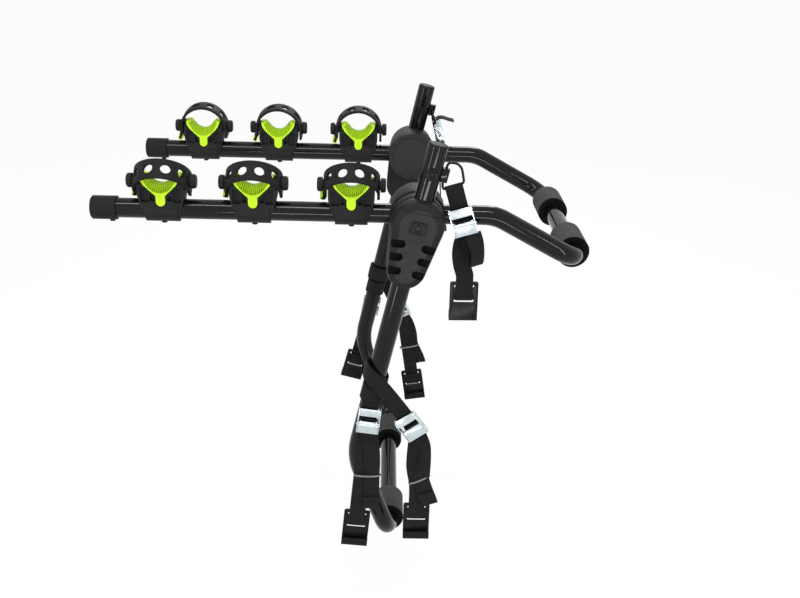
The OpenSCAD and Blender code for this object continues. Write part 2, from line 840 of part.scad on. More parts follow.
function down(tilt, d) = [d * sin(tilt), -d * cos(tilt)];
function wrap_at(i) = lower_wrap + (i < 4 ? wrap_step : 0);
function anchor(i) = i == 0 ? ring_low + [18, -4]
    : i == 1 ? leg_xz(lug_u, bracket_up) + down(ring_tilt, ring_h)
    : leg_point(wrap_at(i)) + (ON_EDGE[i] ? [tube_r + wrap_t, 0] : [0, 0]);
function pin_at(i) = anchor(i) + down(TILT[i], TO_BUCKLE[i]);
function knee(i) = pin_at(i) + down(TILT[i], buckle_half);
function hook_at(i) = knee(i) + down(LOW_TILT[i], TO_HOOK[i]);

// Moves local axes to a point of strap i: width on X, outside on +Y for the left
module on_strap(i, p, tilt) {
    at_hub() on_side(SIDE[i]) translate([p.x, leg_y + PLANE[i], p.y]) rotate([0, -tilt, 0])
        rotate([0, 0, ON_EDGE[i] ? -90 : 0]) children();
}

// Closed wire ring through a list of corners
module wire_ring(corners) {
    last = len(corners) - 1;
    for (k = [0:last]) {
        rod(corners[k], corners[k == last ? 0 : k + 1], ring_wire_r);
        translate(corners[k]) sphere(ring_wire_r + bend_swell);
    }
}

// Wire rings that join the upper straps to their brackets
module d_rings() {
    bar = ring_half * [cos(TILT[0]), sin(TILT[0])];
    shoulder = [ring_top + [17, -1.5], ring_top + [24, -7]];
    flat = [ring_top, ring_low, anchor(0) - bar, anchor(0) + bar, shoulder[1], shoulder[0]];
    color(black_paint) at_hub() {
        on_side(SIDE[0]) wire_ring([for (p = flat) [p.x, leg_y, p.y]]);
        on_side(SIDE[1]) wire_ring([for (c = [[1, 1], [-1, 1], [-1, 0], [1, 0]])
            let (p = anchor(1) - c[1] * down(ring_tilt, ring_h)) [p.x, leg_y + c[0] * ring_half, p.y]]);
    }
}

// Flat band of strap i in its plane, or on edge
module strap_band(i, pts, depth) {
    at_hub() on_side(SIDE[i]) translate([0, leg_y + PLANE[i], 0])
        if (ON_EDGE[i]) slab(-web_w / 2, web_w / 2) band(pts, depth);
        else slab(-depth / 2, depth / 2) band(pts, web_w);
}

hook_window = 30;
// Straps with a loose tail: how far below the buckle it starts, and its tilt
TAILED = [0, 4, 5];
TAIL_FROM = [4, 0, 0, 0, 93, 76];
TAIL_TILT = [17, 0, 0, 0, 22, 20];
tail_len = 58;
// Free end above the buckle of the upper left strap, from its ring
FREE_END = [[3, 0], [16, 4], [40, -2]];

// Loop of webbing round the bar of a ring
module ring_loop(i) {
    half = web_w / 2 - 2 * fit;
    on_strap(i, anchor(i), TILT[i]) difference() {
        rod_x(ring_wire_r + soft_gap + web_t, -half, half);
        rod_x(ring_wire_r + soft_gap, -web_w, web_w);
    }
}

// Turns of webbing round a leg
module leg_loop(i) {
    outer = i < 4 || ON_EDGE[i] ? wrap_t : wrap_t + 3 * web_t;
    at_hub() on_side(SIDE[i]) along_leg() translate([0, leg_y, -wrap_at(i) - web_w / 2]) difference() {
        cylinder(r = tube_r + soft_gap + outer, h = web_w);
        translate([0, 0, -past]) cylinder(r = tube_r + soft_gap, h = web_w + 2 * past);
    }
}

// Loose end, folded double against the strap
module loose_tail(i) {
    from = knee(i) + down(LOW_TILT[i], TAIL_FROM[i]);
    to = from + down(TAIL_TILT[i], tail_len);
    shift = 1.4 * web_t;
    if (ON_EDGE[i]) strap_band(i, [from + [shift, 0], to + [shift, 0]], 2 * web_t);
    else outwards(i, shift) strap_band(i, [from, to], 2 * web_t);
}

// Moves its children outwards on the side of strap i
module outwards(i, d) {
    translate([0, SIDE[i] == "right" ? -d : d, 0]) children();
}

module webbing(i) {
    loop_r = ring_wire_r + soft_gap + web_t / 2;
    top = i < 2 ? anchor(i) + down(TILT[i], loop_r) : anchor(i);
    end = hook_at(i) + down(LOW_TILT[i], hook_window);
    color(web_black) union() {
        if (i < 2) ring_loop(i);
        else leg_loop(i);
        strap_band(i, [top, knee(i), end], web_t);
        for (k = TAILED) if (k == i) loose_tail(i);
        if (i == 1) strap_band(i, [for (p = FREE_END) anchor(i) + p], web_t);
    }
}

// Cam buckles

buckle_gap = web_w + 6;
cheek_t = 1.5;
cheek_in = 3;
cheek_out = 14;
pin_r = 2.5;
cam_r = 6;
pin_out = cam_r + web_t / 2 + 0.4;
pin_down = 6;
bar_t = 1.5;
lever_t = 2;
lever_reach = 14;

// Two cheeks, a front plate over the webbing and a plate behind it
module buckle_frame() {
    half = buckle_gap / 2;
    difference() {
        union() {
            for (s = [0, 1]) mirror([s, 0, 0]) translate([half, 0, 0]) rotate([90, 0, 90])
                linear_extrude(cheek_t) translate([(cheek_out - cheek_in) / 2, 0]) rotate(90)
                    slot(2 * buckle_half, cheek_out + cheek_in);
            translate([-half, 4, 8]) cube([buckle_gap, bar_t, 14]);
            translate([-half, -web_t / 2 - 0.4 - bar_t, -buckle_half + 6]) cube([buckle_gap, bar_t, 12]);
        }
        translate([0, pin_out, -pin_down]) rod_x(pin_r + 0.02, -buckle_gap, buckle_gap);
    }
}

module buckle_frames() {
    color(zinc) for (i = [0:5]) on_strap(i, pin_at(i), TILT[i]) buckle_frame();
}

module buckle_pins() {
    color(zinc) for (i = [0:5]) on_strap(i, pin_at(i), TILT[i]) translate([0, pin_out, -pin_down])
        rod_x(pin_r, -buckle_gap / 2 - cheek_t - 1, buckle_gap / 2 + cheek_t + 1);
}

// Lever that turns on the pin and nips the webbing with its cam
module cam_lever(i) {
    half = buckle_gap / 2 - 0.4;
    color(zinc) on_strap(i, pin_at(i), TILT[i]) translate([0, pin_out, -pin_down]) difference() {
        union() {
            rod_x(cam_r, -half, half);
            translate([-half, cam_r - lever_t, -lever_reach]) cube([2 * half, lever_t, lever_reach]);
        }
        rod_x(pin_r + run, -buckle_gap, buckle_gap);
    }
}

// Hooks and keepers

hook_slot_h = 5;
hook_lip_h = 14;

// Plate with a window for the webbing and a turned up lip, hung behind the webbing
module hook(lip_out) {
    back = -web_t / 2 - soft_gap;
    lip_y = lip_out ? back + hook_mouth : back - 2 * hook_t - hook_mouth;
    floor_y = lip_out ? back - hook_t : lip_y;
    slab(back - hook_t, back) difference() {
        translate([0, -hook_h / 2]) soft_square(hook_w, hook_h, 4);
        for (z = [8, hook_window + hook_slot_h / 2 + 1])
            translate([0, -z]) slot(web_w + 5, hook_slot_h);
    }
    translate([-hook_w / 2, lip_y, -hook_h]) cube([hook_w, hook_t, hook_lip_h]);
    translate([-hook_w / 2, floor_y, -hook_h]) cube([hook_w, hook_mouth + 2 * hook_t, hook_t]);
}

module strap_hooks() {
    color(black_rubber) for (i = [0:5]) on_strap(i, hook_at(i), LOW_TILT[i]) hook(LIP_OUT[i]);
}

keeper_h = 7;
keeper_wall = 1.2;
KEPT = [2, 4, 5];
KEEPER_UP = [0, 0, 77, 0, 59, 62];

// Elastic bands that hold the loose webbing
module strap_keepers() {
    inner_w = web_w + 2 * soft_gap;
    inner_t = web_t + 2 * soft_gap;
    color(black_rubber) for (i = KEPT)
        on_strap(i, hook_at(i) - down(LOW_TILT[i], KEEPER_UP[i]), LOW_TILT[i]) difference() {
            cube([inner_w + 2 * keeper_wall, inner_t + 2 * keeper_wall, keeper_h], center = true);
            cube([inner_w, inner_t, 2 * keeper_h], center = true);
        }
}

lower_tube();
stub_caps();
lower_pad("right");  // lower_pad_right
lower_pad("left");  // lower_pad_left
hub_housing("right");  // hub_housing_right
hub_housing("left");  // hub_housing_left
hub_cover("right");  // hub_cover_right
hub_cover("left");  // hub_cover_left
pivot_bolts();
pivot_nuts();
button_spring("right");  // button_spring_right
button_spring("left");  // button_spring_left
release_button("right");  // release_button_right
release_button("left");  // release_button_left
upper_tube();
arm_caps();
cap_screws();
upper_pad("right");  // upper_pad_right
upper_pad("left");  // upper_pad_left
hub_drum("right");  // hub_drum_right
hub_drum("left");  // hub_drum_left
hub_inner_caps();
pivot_bushes();
cradles("right");  // cradles_right
cradles("left");  // cradles_left
inserts("right");  // inserts_right
inserts("left");  // inserts_left
cradle_screws();
rubber_strap(0, "right");  // rubber_strap_inner_right
rubber_strap(1, "right");  // rubber_strap_middle_right
rubber_strap(2, "right");  // rubber_strap_outer_right
rubber_strap(0, "left");  // rubber_strap_inner_left
rubber_strap(1, "left");  // rubber_strap_middle_left
rubber_strap(2, "left");  // rubber_strap_outer_left
strap_clip(0, "right");  // strap_clip_inner_right
strap_clip(1, "right");  // strap_clip_middle_right
strap_clip(2, "right");  // strap_clip_outer_right
strap_clip(0, "left");  // strap_clip_inner_left
strap_clip(1, "left");  // strap_clip_middle_left
strap_clip(2, "left");  // strap_clip_outer_left
strap_brackets();
bracket_rivets();
d_rings();
webbing(0);  // upper_webbing_right
webbing(1);  // upper_webbing_left
webbing(2);  // side_webbing_right
webbing(3);  // side_webbing_left
webbing(4);  // lower_webbing_right
webbing(5);  // lower_webbing_left
buckle_frames();
buckle_pins();
strap_hooks();
strap_keepers();
cam_lever(0);  // cam_lever_upper_right
cam_lever(1);  // cam_lever_upper_left
cam_lever(2);  // cam_lever_side_right
cam_lever(3);  // cam_lever_side_left
cam_lever(4);  // cam_lever_lower_right
cam_lever(5);  // cam_lever_lower_left
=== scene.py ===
# %% [markdown]
# # Trunk mounted bike rack
# Two bent tube frames fold on a pair of hubs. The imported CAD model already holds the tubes,
# hubs, cradles, buckles and hooks at their real sizes, so this script gives every node a
# finish of its own and models what a solid can't show well: foam, webbing and soft rubber.

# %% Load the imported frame
import json
import math

import bpy
from mathutils import Matrix, Vector

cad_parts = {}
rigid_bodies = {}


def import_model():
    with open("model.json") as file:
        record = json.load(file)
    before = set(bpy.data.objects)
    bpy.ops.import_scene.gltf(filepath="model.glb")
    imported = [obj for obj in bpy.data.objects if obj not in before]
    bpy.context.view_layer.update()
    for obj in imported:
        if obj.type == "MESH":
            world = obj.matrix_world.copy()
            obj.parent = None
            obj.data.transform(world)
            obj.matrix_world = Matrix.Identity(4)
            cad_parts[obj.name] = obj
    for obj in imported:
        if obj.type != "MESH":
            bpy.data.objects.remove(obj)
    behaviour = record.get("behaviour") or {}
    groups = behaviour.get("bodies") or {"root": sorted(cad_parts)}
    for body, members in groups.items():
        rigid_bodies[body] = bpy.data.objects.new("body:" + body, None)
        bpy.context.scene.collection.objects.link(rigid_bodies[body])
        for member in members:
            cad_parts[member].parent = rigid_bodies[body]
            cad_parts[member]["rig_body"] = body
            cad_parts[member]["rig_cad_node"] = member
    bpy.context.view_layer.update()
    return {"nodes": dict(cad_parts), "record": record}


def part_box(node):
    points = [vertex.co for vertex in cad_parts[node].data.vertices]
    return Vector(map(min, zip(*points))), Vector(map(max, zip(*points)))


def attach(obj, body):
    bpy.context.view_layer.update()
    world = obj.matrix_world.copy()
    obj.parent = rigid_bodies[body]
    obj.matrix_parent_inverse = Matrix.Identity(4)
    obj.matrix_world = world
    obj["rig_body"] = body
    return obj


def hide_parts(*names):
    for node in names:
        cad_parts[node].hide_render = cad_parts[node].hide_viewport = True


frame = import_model()
nodes = frame["nodes"]
scene = bpy.context.scene
scene.view_settings.view_transform = "Standard"

# %% [markdown]
# ## The camera
# The picture was taken from the right, a little above the arms. A camera can be placed by eye,
# but its place was worked out from the lines of the tubes, so its matrix is written from the
# yaw, pitch and roll that came out, with the lens as a focal length in pixels.

# %% Camera
IMAGE_W, FOCAL_PX, SENSOR = 800, 950.0, 36.0
EYE = Vector((-0.023, -1.6441, 1.0818))
YAW, PITCH, ROLL = (math.radians(a) for a in (1.284, 23.299, 1.611))

flat = math.cos(PITCH)
ahead = Vector((math.sin(YAW) * flat, math.cos(YAW) * flat, -math.sin(PITCH)))
level = Vector((math.cos(YAW), -math.sin(YAW), 0))
upward = level.cross(ahead)
image_right = math.cos(ROLL) * level + math.sin(ROLL) * upward
image_up = math.cos(ROLL) * upward - math.sin(ROLL) * level
bpy.ops.object.camera_add(location=EYE)
camera = bpy.context.object
camera.data.sensor_fit = "HORIZONTAL"
camera.data.sensor_width = SENSOR
camera.data.lens = FOCAL_PX / IMAGE_W * SENSOR
camera.data.clip_start, camera.data.clip_end = 0.05, 50
turned = Matrix((image_right, image_up, -ahead)).transposed().to_4x4()
camera.matrix_world = Matrix.Translation(EYE) @ turned
scene.camera = camera
print("lens mm:", round(camera.data.lens, 2))

# %% [markdown]
# ## Shader arithmetic
# Node trees are easier to read as formulas. The class below wraps one output socket, so that
# adding or multiplying two of them adds a Math node, and one method makes any other node.

# %% A socket that does arithmetic


class Wire:
    """One output socket of a shader tree, which takes part in Python arithmetic."""

    def __init__(self, tree, socket):
        self.tree, self.socket = tree, socket

    def _math(self, operation, first, second):
        return self.tree.node("ShaderNodeMath", {"operation": operation}, {0: first, 1: second})

    def __add__(self, other):
        return self._math("ADD", self, other)

    def __sub__(self, other):
        return self._math("SUBTRACT", self, other)

    def __mul__(self, other):
        return self._math("MULTIPLY", self, other)

    __radd__ = __add__

    def most(self, other):
        """The greater of two values."""
        return self._math("MAXIMUM", self, other)

    def wave(self):
        """The sine."""
        return self._math("SINE", self, 0)

    def size(self):
        """The value without its sign."""
        return self._math("ABSOLUTE", self, 0)

    def clamp(self, low, high):
        """0 below the low mark, 1 above the high one and a ramp between."""
        sockets = {0: self, 1: low, 2: high, 3: 0.0, 4: 1.0}
        return self.tree.node("ShaderNodeMapRange", {"clamp": True}, sockets)


class Finish:
    """A material with one Principled shader, built from formulas."""

    def __init__(self, name, **fixed):
        self.material = bpy.data.materials.new(name)
        self.material.use_nodes = True
        self.nodes, self.links = self.material.node_tree.nodes, self.material.node_tree.links
        self.shader = self.nodes["Principled BSDF"]
        for socket, value in fixed.items():
            self.shader.inputs[socket.replace("_", " ")].default_value = value

    def node(self, kind, settings=None, sockets=None, out=0):
        """Any shader node with its settings and sockets filled in."""
        made = self.nodes.new(kind)
        for key, value in (settings or {}).items():
            setattr(made, key, value)
        for key, value in (sockets or {}).items():
            self.plug(made.inputs[key], value)
        return Wire(self, made.outputs[out])

    def plug(self, socket, value):
        """Links a wire to a socket, or writes a plain value there."""
        if isinstance(value, Wire):
            self.links.new(value.socket, socket)
        else:
            socket.default_value = value

    def place(self, scale=(1, 1, 1)):
        """Object coordinates, scaled along each axis."""
        here = self.node("ShaderNodeTexCoord", out="Object")
        return self.node("ShaderNodeMapping", sockets={"Vector": here, "Scale": scale})

    def noise(self, scale, detail, where=None):
        """Noise in object coordinates, or in those given."""
        sockets = {"Vector": where or self.place(), "Scale": scale, "Detail": detail}
        return self.node("ShaderNodeTexNoise", sockets=sockets, out="Fac")

    def tint(self, amount, dark, light):
        """A colour between a dark and a light one."""
        sockets = {0: amount, 6: (*dark, 1), 7: (*light, 1)}
        return self.node("ShaderNodeMix", {"data_type": "RGBA"}, sockets, out=2)

    def chart(self, axis):
        """One coordinate of the piece's UV map."""
        here = self.node("ShaderNodeUVMap", out="UV")
        return self.node("ShaderNodeSeparateXYZ", sockets={0: here}, out=axis)

    def bump(self, height, depth, strength):
        """A normal bumped by a height, with its depth in metres."""
        sockets = {"Height": height, "Distance": depth, "Strength": strength}
        return self.node("ShaderNodeBump", sockets=sockets)

    def paint(self, **sockets):
        """Fills the shader's sockets and gives back the material."""
        for socket, value in sockets.items():
            self.plug(self.shader.inputs[socket.replace("_", " ")], value)
        return self.material


# %% [markdown]
# ## The floor and the light
# The picture has a white ground with hardly a shadow. A wide floor under the rack is white to
# the camera but still takes a little shade. Square lamps would leave the black tubes dull, so
# most of the light comes from long strips, which draw a streak along each tube.

# %% Floor
FLOOR_Z, FLOOR_SIZE, GLOW_SHARE = -0.14, 30, 0.9
SEEN_BY = ("Is Camera Ray", "Is Glossy Ray", "Is Transmission Ray")
bpy.ops.object.select_all(action="DESELECT")
bpy.ops.mesh.primitive_plane_add(size=FLOOR_SIZE, location=(0, 0, FLOOR_Z))
floor = bpy.context.object
floor.name = "floor"
pale = Finish("pale_floor", Roughness=0.9)
pale.paint(Base_Color=(0.9, 0.9, 0.9, 1))
glow = pale.node("ShaderNodeEmission", sockets={"Color": (1, 1, 1, 1), "Strength": 1.0})
path = pale.nodes.new("ShaderNodeLightPath")
first, second, third = (Wire(pale, path.outputs[ray]) for ray in SEEN_BY)
seen = first.most(second).most(third)
mixed = pale.nodes.new("ShaderNodeMixShader")
pale.plug(mixed.inputs[0], seen * GLOW_SHARE)
pale.links.new(pale.shader.outputs[0], mixed.inputs[1])
pale.links.new(glow.socket, mixed.inputs[2])
pale.links.new(mixed.outputs[0], pale.nodes["Material Output"].inputs["Surface"])
floor.data.materials.append(pale.material)

# %% World and lamps
AMBIENT = 0.7
world = bpy.data.worlds.new("studio")
scene.world = world
world.use_nodes = True
sky, join = world.node_tree.nodes, world.node_tree.links.new
ground, white = sky["Background"], sky.new("ShaderNodeBackground")
for backdrop, strength in ((ground, AMBIENT), (white, 1.0)):
    backdrop.inputs["Color"].default_value = (1, 1, 1, 1)
    backdrop.inputs["Strength"].default_value = strength
rays = sky.new("ShaderNodeLightPath")
blend = sky.new("ShaderNodeMixShader")
either = None
for ray in SEEN_BY:
    most = sky.new("ShaderNodeMath")
    most.operation = "MAXIMUM"
    most.inputs[1].default_value = 0.0
    join(rays.outputs[ray], most.inputs[0])
    if either:
        join(either.outputs[0], most.inputs[1])
    either = most
for output, socket in ((either, 0), (ground, 1), (white, 2)):
    join(output.outputs[0], blend.inputs[socket])
join(blend.outputs[0], sky["World Output"].inputs["Surface"])

LAMPS = {
    "top_strip": ((-0.2, -1.1, 2.4), (2.0, 0.2), 26),
    "left_strip": ((-1.5, -1.5, 0.7), (0.1, 1.5), 10),
    "right_strip": ((1.4, -1.6, 0.7), (0.1, 1.5), 10),
    "low_strip": ((0.0, -2.2, 0.08), (1.2, 0.2), 10),
    "back": ((0.3, 1.9, 2.0), (1.0, 1.0), 22),
}
AIM = Vector((0, 0, 0.4))
for name, (at, size, power) in LAMPS.items():
    bpy.ops.object.light_add(type="AREA", location=at)
    lamp = bpy.context.object
    lamp.name = name
    lamp.data.shape = "RECTANGLE"
    lamp.data.size, lamp.data.size_y = size
    lamp.data.energy = power
    lamp.rotation_euler = (AIM - Vector(at)).to_track_quat("-Z", "Y").to_euler()
print("lamps:", list(LAMPS))

# %% [markdown]
# ## Finishes
# Each finish follows the real surface: powder coat has a faint orange peel, moulded nylon a
# fine spark texture, zinc plate a cloudy shine and foam its cells. Colour changes a little
# over each of them, because nothing made in a mould or an oven is quite even.

# %% Hard finishes
coat = Finish("powder_coat", IOR=1.5, Specular_IOR_Level=0.22)
peel, cloud = coat.noise(900, 2), coat.noise(14, 3)
powder_coat = coat.paint(
    Base_Color=coat.tint(cloud, (0.002, 0.002, 0.0022), (0.005, 0.005, 0.0053)),
    Roughness=0.07 + cloud * 0.06,
    Normal=coat.bump(peel, 0.00004, 0.3),
)

nylon = Finish("moulded_nylon", IOR=1.5, Specular_IOR_Level=0.14)
spark, cloud = nylon.noise(1500, 2), nylon.noise(30, 4)
moulded_nylon = nylon.paint(
    Base_Color=nylon.tint(cloud, (0.006, 0.006, 0.0064), (0.013, 0.013, 0.0136)),
    Roughness=0.48 + cloud * 0.14,
    Normal=nylon.bump(spark, 0.00012, 0.7),
)

# Paler nylon: on the panel partly its own tone and partly painted light, on the inner caps
# painted light.
panel = Finish("pale_face_and_painted_light", IOR=1.5, Specular_IOR_Level=0.15)
spark, cloud = panel.noise(1500, 2), panel.noise(30, 4)
pale_face_and_painted_light = panel.paint(
    Base_Color=panel.tint(cloud, (0.016, 0.016, 0.016), (0.027, 0.027, 0.027)),
    Roughness=0.55 + cloud * 0.14,
    Normal=panel.bump(spark, 0.00014, 0.8),
)

# Painted shade, laid on the insides of the hub cover's slots.
recess = Finish("shaded_recess", IOR=1.5, Specular_IOR_Level=0.05)
cloud = recess.noise(40, 3)
shaded_recess = recess.paint(
    Base_Color=recess.tint(cloud, (0.002, 0.002, 0.002), (0.005, 0.005, 0.005)),
    Roughness=0.7 + cloud * 0.1,
)

smooth = Finish("button_plastic", IOR=1.5, Specular_IOR_Level=0.2)
cloud = smooth.noise(60, 3)
button_plastic = smooth.paint(
    Base_Color=smooth.tint(cloud, (0.003, 0.003, 0.0035), (0.006, 0.006, 0.0065)),
    Roughness=0.3 + cloud * 0.1,
)

zinc = Finish("zinc_plate", Metallic=1.0)
grain = zinc.noise(900, 2, zinc.place((1, 1, 0.15)))
cloud = zinc.noise(120, 4)
zinc_plate = zinc.paint(
    Base_Color=zinc.tint(cloud, (0.46, 0.53, 0.57), (0.7, 0.77, 0.8)),
    Roughness=0.16 + cloud * 0.2,
    Normal=zinc.bump(grain, 0.00006, 0.5),
)

wire = Finish("black_wire", IOR=1.5, Specular_IOR_Level=0.12)
cloud = wire.noise(90, 3)
black_wire = wire.paint(
    Base_Color=wire.tint(cloud, (0.003, 0.003, 0.0034), (0.008, 0.008, 0.009)),
    Roughness=0.22 + cloud * 0.12,
)

# %% Soft finishes
lime = Finish("lime_rubber", IOR=1.45, Specular_IOR_Level=0.3)
cloud, dust = lime.noise(40, 4), lime.noise(1200, 2)
lime_rubber = lime.paint(
    Base_Color=lime.tint(cloud, (0.36, 0.62, 0.006), (0.5, 0.78, 0.012)),
    Roughness=0.45 + cloud * 0.15,
    Normal=lime.bump(dust, 0.0001, 0.6),
)

rubber = Finish("black_rubber", IOR=1.45, Specular_IOR_Level=0.13)
cloud, dust = rubber.noise(45, 4), rubber.noise(1400, 2)
black_rubber = rubber.paint(
    Base_Color=rubber.tint(cloud, (0.006, 0.006, 0.0065), (0.013, 0.013, 0.0135)),
    Roughness=0.5 + cloud * 0.15,
    Normal=rubber.bump(dust, 0.0001, 0.6),
)

cells = Finish("foam", IOR=1.4, Specular_IOR_Level=0.15)
bubble = cells.node("ShaderNodeTexVoronoi", out="Distance",
                    sockets={"Vector": cells.place(), "Scale": 700.0})
cloud = cells.noise(35, 4)
foam = cells.paint(
    Base_Color=cells.tint(cloud, (0.04, 0.04, 0.041), (0.07, 0.07, 0.071)),
    Roughness=0.82 + cloud * 0.1,
    Normal=cells.bump(bubble, 0.0004, 0.8),
)

# The end faces of the pads are much darker than their sides.
dark_ends = Finish("dark_foam_ends", IOR=1.4, Specular_IOR_Level=0.05)
cloud = dark_ends.noise(60, 4)
dark_foam_ends = dark_ends.paint(
    Base_Color=dark_ends.tint(cloud, (0.003, 0.003, 0.003), (0.008, 0.008, 0.008)),
    Roughness=0.85 + cloud * 0.1,
    Normal=dark_ends.bump(dark_ends.noise(900, 2), 0.0004, 0.8),
)

cloth = Finish("plain_webbing", IOR=1.45, Specular_IOR_Level=0.06)
cloud = cloth.noise(60, 4)
plain_webbing = cloth.paint(
    Base_Color=cloth.tint(cloud, (0.008, 0.008, 0.009), (0.02, 0.02, 0.021)),
    Roughness=0.75 + cloud * 0.15,
)

stretch = Finish("elastic_band", IOR=1.45, Specular_IOR_Level=0.15)
thread, cloud = stretch.noise(1600, 2), stretch.noise(90, 3)
elastic_band = stretch.paint(
    Base_Color=stretch.tint(cloud, (0.1, 0.1, 0.1), (0.2, 0.2, 0.205)),
    Roughness=0.7 + cloud * 0.15,
    Normal=stretch.bump(thread, 0.0002, 0.6),
)

# %% Give each CAD node its finish
BY_SLOT = {
    "frame_paint": powder_coat, "moulded_plastic": moulded_nylon,
    "button_plastic": button_plastic, "foam": foam, "lime_rubber": lime_rubber,
    "black_rubber": black_rubber, "webbing": plain_webbing, "hook_coating": black_wire,
    "zinc_steel": zinc_plate, "black_wire": black_wire, "elastic": elastic_band,
}
# The inner caps take the paler nylon as painted light, because they face up.
BY_NODE = {
    "cradle_screws": black_wire, "cap_screws": black_wire, "bracket_rivets": black_wire,
    "hub_inner_caps": pale_face_and_painted_light,
}
for part in frame["record"]["subparts"]:
    mesh = nodes[part["node"]].data
    mesh.materials.clear()
    mesh.materials.append(BY_NODE.get(part["node"], BY_SLOT[part["material_slot"]]))

# %% [markdown]
# ## Rounded edges
# Moulded and pressed parts have no knife edges, and the thin light along a rounded edge is what
# makes them look real. The solids could be modelled again, but a copy of a solid with its
# doubles merged and a Bevel modifier gives the same part with softened edges.

# %% Copy a node and round its edges
BODIES = frame["record"]["behaviour"]["bodies"]
BODY_OF = {node: body for body, members in BODIES.items() for node in members}
WELD = 1e-6
FLAT, CREASE = math.radians(1.5), math.radians(38)


def only(piece):
    """Leaves one object selected and active."""
    if bpy.context.object and bpy.context.object.mode != "OBJECT":
        bpy.ops.object.mode_set(mode="OBJECT")
    bpy.ops.object.select_all(action="DESELECT")
    piece.select_set(True)
    bpy.context.view_layer.objects.active = piece


def in_edit(*steps):
    """Runs mesh operators on the whole active mesh in edit mode."""
    bpy.ops.object.mode_set(mode="EDIT")
    for step in steps:
        bpy.ops.mesh.select_all(action="SELECT")
        step()
    bpy.ops.object.mode_set(mode="OBJECT")


def modify(piece, kind, **settings):
    """Adds a modifier, sets it and applies it."""
    only(piece)
    added = piece.modifiers.new(kind.lower(), kind)
    for key, value in settings.items():
        setattr(added, key, value)
    bpy.ops.object.modifier_apply(modifier=added.name)


def round_edges(piece, width):
    """Bevels the sharp edges of a piece and shades the rest smooth."""
    modify(piece, "BEVEL", width=width, segments=2, limit_method="ANGLE", angle_limit=CREASE)
    only(piece)
    bpy.ops.object.shade_smooth_by_angle(angle=CREASE)


def copy_of(node, name):
    """A free copy of a CAD node with its triangles joined into faces."""
    only(nodes[node])
    bpy.ops.object.duplicate()
    piece = bpy.context.object
    piece.name = piece.data.name = name
    piece.parent = None
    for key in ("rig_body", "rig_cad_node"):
        del piece[key]
    bpy.ops.mesh.customdata_custom_splitnormals_clear()
    in_edit(
        lambda: bpy.ops.mesh.remove_doubles(threshold=WELD),
        lambda: bpy.ops.mesh.dissolve_limited(angle_limit=FLAT),
    )
    return piece


def joined(made, name):
    """Joins several objects into one piece."""
    only(made[0])
    for other in made[1:]:
        other.select_set(True)
    bpy.ops.object.join()
    piece = bpy.context.object
    piece.name = piece.data.name = name
    return piece


def stand_for(piece, node):
    """The piece rides where the node does and stands for it."""
    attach(piece, BODY_OF[node])
    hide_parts(node)
    return piece


# %% Parts with rounded edges
ROUNDED_MM = {
    "cradles": 0.9, "hub_drum": 0.9, "hub_housing": 1.2, "hub_inner_caps": 0.7,
    "release_button": 0.8, "arm_caps": 1.0, "stub_caps": 0.5, "strap_brackets": 0.6,
    "buckle_frames": 0.35, "cam_lever": 0.5, "strap_hooks": 0.9, "rubber_strap": 1.0,
    "strap_clip": 0.6, "bracket_rivets": 0.9,
}
for node in sorted(nodes):
    for start, width in ROUNDED_MM.items():
        if node.startswith(start):
            rounded = copy_of(node, node + "_rounded")
            round_edges(rounded, width / 1000)
            stand_for(rounded, node)

# %% [markdown]
# ## Hub covers in two shells
# Each cover is a dark dome over a paler face, and a fine line parts the two. The line could be
# painted, but a real gap catches the light, so the copy is cut by a plane and each half keeps
# its own rounded rim. Flat panel faces are paler, partly their own tone and partly painted
# light; the slots get painted shade.

# %% Cut a cover at its parting line
HUB = Vector((0.033, 0, 0.605))
LEG_LEAN = math.radians(12.5)
UP_LEG = Vector((math.sin(LEG_LEAN), 0, math.cos(LEG_LEAN)))
PART_UP, PART_GAP, COVER_EDGE = 0.0235, 0.0007, 0.0009


def cut(piece, point, normal):
    """Keeps the part of a piece that lies against the normal, and closes the cut."""
    only(piece)
    in_edit(lambda: bpy.ops.mesh.bisect(
        plane_co=point, plane_no=normal, use_fill=True, clear_outer=True, clear_inner=False))


# %% A paler panel with painted light, and slots with painted shade
ACROSS_LEG = Vector((math.cos(LEG_LEAN), 0, -math.sin(LEG_LEAN)))
SLOT_DOWN, SLOT_OUT = (0.031, 0.053, 0.076), (0.025, 0.024, 0.021)
SLOT_REACH, SLOT_RISE = 0.0135, 0.0095
FACING, SIDEWAYS = 0.97, 0.2
PANEL_SKIN, SLOT_LIP = 0.0004, 0.001


def tell_apart(shell, front):
    """Gives the flat panel its paler finish, partly painted light, and paints shade into the
    slots.
    """
    for finish in (pale_face_and_painted_light, shaded_recess):
        shell.data.materials.append(finish)
    for face in shell.data.polygons:
        spot = face.center - HUB
        depth, aside, up = front - abs(spot.y), spot.dot(ACROSS_LEG), spot.dot(UP_LEG)
        in_slot = any(abs(abs(aside) - out) < SLOT_REACH and abs(up + down) < SLOT_RISE
                      for down, out in zip(SLOT_DOWN, SLOT_OUT))
        outward = abs(face.normal.y)
        # The flat faces turned outward get the paler nylon, partly painted light.
        if outward > FACING and depth < PANEL_SKIN:
            face.material_index = 1
        # The insides of the slots get painted shade.
        elif in_slot and depth > SLOT_LIP and not SIDEWAYS <= outward <= FACING:
            face.material_index = 2


for side in ("right", "left"):
    node = "hub_cover_" + side
    low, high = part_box(node)
    front = max(abs(low.y), abs(high.y))
    halves = (("hub_dome_", -1), ("hub_face_", 1))
    shells = [(copy_of(node, name + side), way) for name, way in halves]
    for shell, way in shells:
        cut(shell, HUB + UP_LEG * (PART_UP - way * PART_GAP / 2), way * UP_LEG)
        round_edges(shell, COVER_EDGE)
        tell_apart(shell, front)
        stand_for(shell, node)
        print(shell.name, len(shell.data.polygons), "faces")

# %% [markdown]
# ## Foam pads
# The pads are lengths of grey closed-cell foam tube pushed over the crossbars. A cylinder with
# its ends inset and bridged is a sleeve, and a little displacement takes away the turned look
# that a bare cylinder would have.

